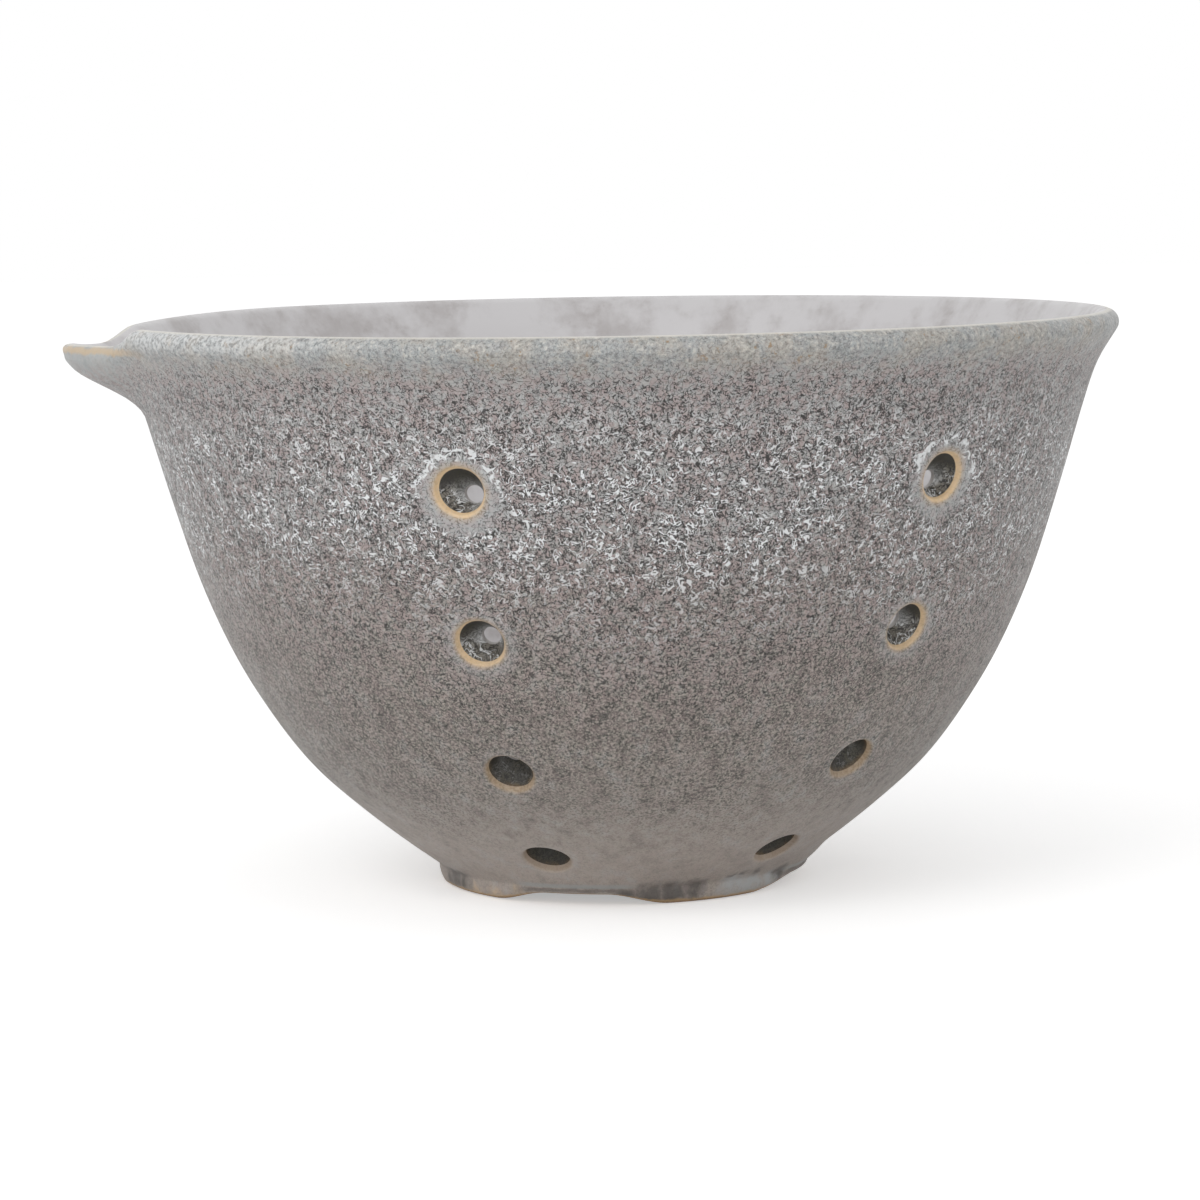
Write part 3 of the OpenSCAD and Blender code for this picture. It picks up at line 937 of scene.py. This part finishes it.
def crystal_masks(place, coarse, fine, crystals):
    """Pale branching crystals, dark veins and tinted cells of a reactive glaze, coarse and fine."""
    growth = place.moved(20, 30, 10).noise(1.3, 2.0, 0.6, 0.7)
    here = place.moved(30, 10, 20).noise(1.2, 1.0, 0.5).ramp(0.42, 0.48) * crystals
    pale = growth.line(0.5, 0.025, 0.008) * here
    dark = growth.line(0.5, 0.05, 0.01) * here
    coarse_veins = place.noise(1.15, 2.5, 0.62, 0.8).line(0.5, 0.019, 0.008) * coarse
    fine_veins = place.moved(10, 20, 30).noise(0.66, 1.5, 0.6, 0.5).line(0.49, 0.026, 0.012) * fine
    for veins in (coarse_veins, fine_veins):
        dark = dark.maths("MAXIMUM", dark, veins)
    dark = dark.maths("SUBTRACT", dark, pale, True)
    cell = place.noise(1.1, 2.0, 0.6).ramp(0.38, 0.62)
    return {"Pale": pale, "Dark": dark, "Cell": cell, "Height": pale - dark}


def crystals_on(surface, coarse, fine, crystals):
    """The crystal group on a surface, with how much there is of each kind."""
    inputs = {"Place": surface.place, "Coarse": coarse, "Fine": fine, "Crystals": crystals}
    return group_masks(surface.tree, "reactive crystals", inputs, crystal_masks)


def wear_masks(place, gap, above):
    """The wear round a drain hole: a thin ring, a glow, a pale halo, a calm zone and an arc of crackle."""
    edge = gap - (place.noise(2.2) * 0.4 + above.ramp(0.2, -0.9, 0.0, 0.2))
    leaning = gap + above * 0.9
    around = gap + (place.moved(0, 10, 20).noise(4.0, 2.0, 0.6) - 0.5) * 7.0
    crackle = place.moved(20, 0, 10).noise(1.1, 2.0, 0.62, 0.8).ramp(0.48, 0.53)
    return {"Ring": edge.ramp(-0.2, 0.35, 1.0, 0.0),
            "Glow": edge.ramp(0.0, 1.3, 1.0, 0.0),
            "Halo": leaning.ramp(0.6, 4.6, 1.0, 0.0),
            "Calm": leaning.ramp(1.3, 3.4, 1.0, 0.0),
            "Arc": around.line(2.6, 0.35, 0.35) * crackle * above.ramp(-0.3, 0.25)}


def wear_on(surface):
    """The wear round the drain holes on a surface, narrower round the low ones."""
    gap = surface.length("hole_gap") * surface.length("rise").ramp(8, 62, 2.4, 1.1)
    inputs = {"Place": surface.place, "Gap": gap, "Above": surface.share("hole_above")}
    return group_masks(surface.tree, "hole wear", inputs, wear_masks)


def mark_foot(coat, rise):
    """Lays the foot's smoky marks, pale pools and thin edges on the outer coat, with a painted highlight and
    painted shade along each arch.
    """
    arch = coat.share("arch")
    ragged = coat.place.noise(1.6)
    loose = coat.place.stirred(2.0, 3.4)
    coat.lay("pool", loose.spots(POOL_SPOTS) * ragged.ramp(0.35, 0.6, 0.4, 0.8))
    coat.lay("peach", loose.spots(FLUSH_SPOTS) * ragged.ramp(0.35, 0.6, 0.2, 0.5))
    coat.lay("smoke", loose.spots(SMOKE_SPOTS) * ragged.ramp(0.25, 0.5, 0.85, 1.0) * 0.8)
    # Painted highlight: a pale line in the rim band's colour along the top of each arch
    coat.lay("band", rise.line(3.0, 0.2, 0.4) * arch.ramp(0.3, 0.9) * 0.7)
    # Painted shade: a dark ragged band low on each arch, under its pale top line
    coat.lay("smoke", (rise + ragged * 1.4).line(2.5, 0.3, 0.7) * arch.ramp(0.2, 0.9) * 0.55)
    coat.lay("ochre", (rise - ragged * 0.9).ramp(0.0, 0.45, 0.75, 0.0))


def outer_coat_material(colours):
    """Speckled reactive glaze: coarse crystals high on the wall, finer ones below, streaks near the foot."""
    coat = Surface("speckled outer glaze", colours, "base")
    place = coat.place
    rise = coat.length("rise")
    pull = coat.share("spout_pull")
    wear = wear_on(coat)
    height = rise + (place.noise(18, 3.0, 0.55) - 0.5) * 22
    ruffled = rise + place.noise(6) * 3
    band = ruffled.ramp(77, 82)
    coarse = height.ramp(35, 60) * ruffled.ramp(73, 80, 1.0, 0.1) * pull.less(0.85) * wear["Calm"].less()
    fine = height.ramp(14, 44, 0.2) * pull.less(0.9) * wear["Calm"].less(0.35) * band.less(0.65)
    flecks = coarse * place.noise(5, 2.0, 0.5).ramp(0.3, 0.5) * ruffled.ramp(64, 77, 1.0, 0.3)
    crystals = crystals_on(coat, coarse, fine, flecks)
    # The ground, paler at the foot and cooler towards the rim, with tall streaks and fine grain low down
    coat.lay("lower", rise.ramp(5, 23))
    coat.lay("middle", height.ramp(30, 46))
    coat.lay("upper", height.ramp(44, 62))
    coat.lay("band", band)
    tall = place.vector("MULTIPLY", {0: place, 1: (1.0, 1.0, 0.18)})
    streaks = tall.noise(2.4, 4.0, 0.68)
    lower = height.ramp(28, 50, 1.0, 0.25)
    coat.lay("smoke", streaks.ramp(0.48, 0.68) * lower * rise.ramp(6, 18, 0.4, 1.0) * 0.55)
    coat.lay("pool", streaks.ramp(0.5, 0.3) * lower * 0.35)
    grain = place.moved(40, 10, 60).noise(0.36, 2.0, 0.6)
    salt = height.ramp(4, 26) * height.ramp(44, 64, 1.0, 0.35) * pull.less(0.8)
    coat.lay("vein", grain.ramp(0.51, 0.62) * salt * 0.75)
    coat.lay("base", grain.ramp(0.49, 0.37) * salt * 0.75)
    coat.lay("blush", crystals["Cell"] * height.ramp(20, 55, 0.25, 0.7) * band.less(0.8))
    coat.lay("pool", wear["Halo"] * rise.ramp(14, 60, 0.05, 0.45))
    coat.lay("vein", crystals["Dark"] * 0.95)
    coat.lay("crystal", crystals["Pale"])
    # The band below the rim: cream specks and rusty spots, and cool pale specks by the spout
    specks = place.moved(50, 20, 40).noise(0.6, 2.0, 0.65)
    still = band * pull.less(0.85)
    warm = place.noise(7).ramp(0.44, 0.6) * still
    coat.lay("tan", warm * 0.14)
    coat.lay("cream", specks.ramp(0.54, 0.68) * still * 0.4)
    coat.lay("vein", specks.ramp(0.46, 0.34) * still * 0.35)
    coat.lay("rust", place.noise(1.2, 3.0, 0.7).ramp(0.6, 0.68) * warm * 0.65)
    sides = put(coat.tree, "ShaderNodeSeparateXYZ", {0: place}).outputs
    along, up = Value(sides["X"]), Value(sides["Z"])
    cool = along.ramp(-28, -60) * ruffled.ramp(80.5, 83) * along.ramp(-66, -70).less()
    coat.lay("crystal", cool * specks.ramp(0.4, 0.55, 0.1, 0.5))
    # Round the holes
    coat.lay("crystal", wear["Arc"] * height.ramp(46, 60, 0.05, 1.0) * 0.9)
    coat.lay("ochre", wear["Glow"] * rise.ramp(8, 40, 0.15, 0.35))
    ring = wear["Ring"] * specks.ramp(0.35, 0.6, 0.75, 0.95) * rise.ramp(8, 58, 0.3, 0.9)
    ringed = coat.mixed(rise.ramp(8, 36), coat.colour("rust"), coat.colour("peach"))
    coat.base = coat.mixed(ring, coat.base, ringed)
    # The foot's marks, with a painted highlight and painted shade along the arches
    mark_foot(coat, rise)
    # The spout's tan lip, and the pale edge along the crest
    coat.lay("tan", (up + streaks * 1.6).line(79.95, 0.2, 0.55) * along.ramp(-64, -69) * 0.65)
    coat.lay("cream", rise.ramp(82.25, 82.5, 0.0, 0.7))
    coat.shader.inputs["Sheen Weight"].default_value = 0.12
    coat.relief(crystals["Height"], 0.3, 0.03)
    return coat.finish(place.noise(4).ramp(0.3, 0.7, 0.4, 0.58))


def inner_coat_material(colours):
    """Smooth pale glaze with soft mauve clouds."""
    coat = Surface("pale inner glaze", colours, "inside")
    clouds = coat.place.noise(9, 5.0, 0.6)
    wisps = coat.place.moved(30, 40, 50).noise(2.6, 4.0, 0.65)
    wear = wear_on(coat)
    coat.lay("cloud", clouds.ramp(0.42, 0.72, 0.0, 0.5))
    coat.lay("cloud", wisps.ramp(0.5, 0.75, 0.0, 0.3) * clouds.ramp(0.4, 0.6))
    coat.lay("cloud", wear["Glow"] * 0.3)
    coat.lay("lower", wear["Ring"] * 0.4)
    return coat.finish(wisps.ramp(0.3, 0.7, 0.34, 0.46))


def hole_coat_material(colours):
    """Dark glaze in the drain holes, crackled below, with olive painted shade above and over the low holes,
    and painted light on the lower side and far in.
    """
    coat = Surface("dark drain hole glaze", colours, "smoke")
    above = coat.share("hole_above")
    depth = coat.length("hole_depth")
    high = coat.length("rise").ramp(12, 48)
    crystals = crystals_on(coat, 1.0, 1.0, 1.0)
    tint = coat.place.noise(2.5)
    # Painted light far in, on all but the lowest side of the bore
    painted_light_far_in = depth.ramp(1.2, 3.3) * above.ramp(-0.8, -0.3)
    coat.lay("bore", tint.ramp(0.35, 0.65))
    # Painted light: the lower side of each high bore, lit in the lower coat's colour
    coat.lay("lower", above.ramp(0.4, -0.6, 0.0, 0.75) * high)
    # Painted light: the far end of each high bore paled with the crystal colour
    coat.lay("crystal", painted_light_far_in * high * 0.8)
    # Painted shade at the top of each bore, less of it far in
    coat.lay("pit", above.ramp(-0.1, 0.7, 0.0, 0.9) * painted_light_far_in.less(0.5))
    coat.lay("vein", crystals["Dark"] * painted_light_far_in.less(0.5) * 0.95)
    coat.lay("crystal", crystals["Pale"] * above.ramp(0.3, -0.6, 0.0, 0.8) * high)
    # Painted shade over the low holes
    coat.lay("pit", high.less() * 0.55)
    coat.lay("rust", depth.ramp(0.3, 1.5, 1.0, 0.0) * high.less() * tint.ramp(0.4, 0.6, 0.15, 0.8))
    return coat.finish(tint.ramp(0.3, 0.7, 0.4, 0.6))


def clay_material(colours):
    """Bare fired clay with fine grit."""
    clay = Surface("bare fired clay", colours, "clay")
    grit = clay.place.noise(0.6)
    clay.lay("ochre", clay.place.noise(6, 2.0, 0.5).ramp(0.35, 0.7, 0.0, 0.6))
    clay.lay("cloud", grit.ramp(0.35, 0.75, 0.0, 0.5))
    clay.relief(grit, 0.25, 0.05)
    return clay.finish(grit.ramp(0.3, 0.7, 0.75, 0.9))


def shared(name, make):
    """The material of that name, made the first time it is asked for."""
    return bpy.data.materials.get(name) or make(bpy.context.scene.berry_bowl.glaze_colours)


def dress(piece, material):
    """Gives a piece its one material."""
    piece.data.materials.clear()
    piece.data.materials.append(material)


class BowlStep(bpy.types.Operator):
    """A step that builds a part of the scene and can be undone"""
    bl_options = {"REGISTER", "UNDO"}


class BERRYBOWL_OT_outer_coat(BowlStep):
    """Adds the speckled coat outside, from the foot's bare edge to the rim's crest and over the spout"""
    bl_idname = "berrybowl.outer_coat"
    bl_label = "Outer coat"

    def execute(self, context):
        piece = coat_piece(context.scene.berry_bowl, "outer_coat", OUTSIDE)
        dress(piece, shared("speckled outer glaze", outer_coat_material))
        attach(piece, "root")
        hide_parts("outer_glaze", "spout_outer_glaze", "foot_glaze")
        return {"FINISHED"}


class BERRYBOWL_OT_inner_coat(BowlStep):
    """Adds the pale coat inside, from the rim's crest over the spout's channel and down over the floor"""
    bl_idname = "berrybowl.inner_coat"
    bl_label = "Inner coat"

    def execute(self, context):
        piece = coat_piece(context.scene.berry_bowl, "inner_coat", INSIDE)
        dress(piece, shared("pale inner glaze", inner_coat_material))
        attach(piece, "root")
        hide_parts("inner_glaze", "spout_inner_glaze")
        return {"FINISHED"}


class BERRYBOWL_OT_hole_coats(BowlStep):
    """Adds the dark coats in the drain holes"""
    bl_idname = "berrybowl.hole_coats"
    bl_label = "Drain hole coats"

    def execute(self, context):
        piece = coat_piece(context.scene.berry_bowl, "drain_hole_coats", BORE)
        dress(piece, shared("dark drain hole glaze", hole_coat_material))
        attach(piece, "root")
        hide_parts("drain_hole_glaze")
        return {"FINISHED"}


class BERRYBOWL_OT_clay_foot(BowlStep):
    """Adds the foot ring of bare clay, with its soft arches"""
    bl_idname = "berrybowl.clay_foot"
    bl_label = "Clay foot"

    def execute(self, context):
        piece = new_piece(clay_foot_mesh(context.scene.berry_bowl.foot_sizes), "clay_foot")
        dress(piece, shared("bare fired clay", clay_material))
        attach(piece, "root")
        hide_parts("foot_ring")
        return {"FINISHED"}


class BERRYBOWL_OT_clay_body(BowlStep):
    """Adds the thrown clay body with its pulled spout, one coat's thickness under the skin"""
    bl_idname = "berrybowl.clay_body"
    bl_label = "Clay body"

    def execute(self, context):
        piece = new_piece(clay_body_mesh(context.scene.berry_bowl), "clay_body")
        dress(piece, shared("bare fired clay", clay_material))
        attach(piece, "root")
        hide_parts("bowl_wall", "pouring_spout")
        return {"FINISHED"}


class BERRYBOWL_OT_packed_pieces(BowlStep):
    """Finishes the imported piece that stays: the coat under the floor"""
    bl_idname = "berrybowl.packed_pieces"
    bl_label = "Packed pieces"

    def execute(self, context):
        dress(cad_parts["base_glaze"], shared("dark drain hole glaze", hole_coat_material))
        return {"FINISHED"}


def floor_material(studio):
    """A pale matt floor that looks white to the camera where no shadow lies."""
    material = bpy.data.materials.new("pale studio floor")
    tree = empty_tree(material)
    tone = studio.floor_tone
    matt = put(tree, "ShaderNodeBsdfDiffuse", {"Color": (tone, tone, tone, 1.0)})
    seen = Value(put(tree, "ShaderNodeLightPath").outputs["Is Camera Ray"])
    glow = put(tree, "ShaderNodeEmission", {"Color": WHITE, "Strength": seen * studio.floor_lift})
    both = put(tree, "ShaderNodeAddShader", {0: matt.outputs[0], 1: glow.outputs[0]})
    put(tree, "ShaderNodeOutputMaterial", {"Surface": both.outputs[0]})
    return material


def studio_sky(studio):
    """An even pale sky that the camera and reflections see as white."""
    world = bpy.data.worlds.new("pale studio")
    tree = empty_tree(world)
    rays = put(tree, "ShaderNodeLightPath").outputs
    seen = Value(rays["Is Camera Ray"])
    for kind in ("Is Glossy Ray", "Is Transmission Ray"):
        seen = seen.maths("ADD", seen, rays[kind], True)
    strength = put(tree, "ShaderNodeMapRange", {"Value": seen, "To Min": studio.sky, "To Max": 1.0})
    sky = put(tree, "ShaderNodeBackground", {"Color": WHITE, "Strength": strength.outputs[0]})
    put(tree, "ShaderNodeOutputWorld", {"Surface": sky.outputs[0]})
    return world


def soft_lamp(name, power, place):
    """Adds a soft square lamp that points at the bowl."""
    lamp = bpy.data.lights.new(name, "AREA")
    lamp.energy = power
    lamp.size = LAMP_ACROSS
    holder = bpy.data.objects.new(name, lamp)
    holder.location = place
    holder.rotation_euler = (Vector(LAMP_AIM) - Vector(place)).to_track_quat("-Z", "Y").to_euler()
    bpy.context.scene.collection.objects.link(holder)


class BERRYBOWL_OT_studio(BowlStep):
    """Adds the pale floor, the soft light and the camera at the photograph's angle"""
    bl_idname = "berrybowl.studio"
    bl_label = "Studio"

    def execute(self, context):
        studio = context.scene.berry_bowl.studio
        bm = bmesh.new()
        bmesh.ops.create_circle(bm, cap_ends=True, radius=studio.floor_across / 2,
                              segments=FLOOR_SIDES)
        floor = new_piece(mesh_of(bm, "studio_floor"), "studio_floor")
        dress(floor, floor_material(studio))
        context.scene.world = studio_sky(studio)
        soft_lamp("key_lamp", studio.key, KEY_PLACE)
        soft_lamp("fill_lamp", studio.fill, FILL_PLACE)
        camera = bpy.data.objects.new("camera", bpy.data.cameras.new("camera"))
        camera.location = CAMERA_PLACE
        camera.rotation_euler = [math.radians(a) for a in CAMERA_TURN]
        camera.data.lens = CAMERA_LENS
        camera.data.sensor_width = CAMERA_SENSOR
        camera.data.clip_start = CAMERA_NEAR
        context.scene.collection.objects.link(camera)
        context.scene.camera = camera
        context.scene.view_settings.view_transform = "Standard"
        return {"FINISHED"}


class BerryBowlSettings(bpy.types.PropertyGroup):
    """Every size and colour of the bowl, and its studio."""
    bowl_sizes: bpy.props.PointerProperty(type=BowlSizes, name="Bowl")
    foot_sizes: bpy.props.PointerProperty(type=FootSizes, name="Foot")
    spout_sizes: bpy.props.PointerProperty(type=SpoutSizes, name="Spout")
    glaze_colours: bpy.props.PointerProperty(type=GlazeColours, name="Colours")
    studio: bpy.props.PointerProperty(type=Studio, name="Studio")


class BERRYBOWL_PT_panel(bpy.types.Panel):
    """The bowl's pieces and settings in the sidebar"""
    bl_idname = "BERRYBOWL_PT_panel"
    bl_label = "Stoneware berry bowl"
    bl_space_type = "VIEW_3D"
    bl_region_type = "UI"
    bl_category = "Berry bowl"

    def draw(self, context):
        settings = context.scene.berry_bowl
        for label in settings.__annotations__:
            box = self.layout.box()
            box.label(text=label.replace("_", " ").capitalize())
            for key in getattr(settings, label).__annotations__:
                box.prop(getattr(settings, label), key)
        for step in STEPS:
            self.layout.operator(step.bl_idname)


STEPS = (BERRYBOWL_OT_outer_coat, BERRYBOWL_OT_inner_coat, BERRYBOWL_OT_hole_coats, BERRYBOWL_OT_clay_body,
         BERRYBOWL_OT_clay_foot, BERRYBOWL_OT_packed_pieces, BERRYBOWL_OT_studio)
CLASSES = (BowlSizes, FootSizes, SpoutSizes, GlazeColours, Studio, BerryBowlSettings, *STEPS,
           BERRYBOWL_PT_panel)


def register():
    """Registers the classes and hangs the settings on the scene."""
    for kind in CLASSES:
        bpy.utils.register_class(kind)
    bpy.types.Scene.berry_bowl = bpy.props.PointerProperty(type=BerryBowlSettings)


def unregister():
    """Takes the settings and the classes away again."""
    del bpy.types.Scene.berry_bowl
    for kind in reversed(CLASSES):
        bpy.utils.unregister_class(kind)


def main():
    register()
    bpy.ops.berrybowl.outer_coat()
    bpy.ops.berrybowl.inner_coat()
    bpy.ops.berrybowl.hole_coats()
    bpy.ops.berrybowl.clay_body()
    bpy.ops.berrybowl.clay_foot()
    bpy.ops.berrybowl.packed_pieces()
    bpy.ops.berrybowl.studio()


if __name__ == "__main__":
    main()
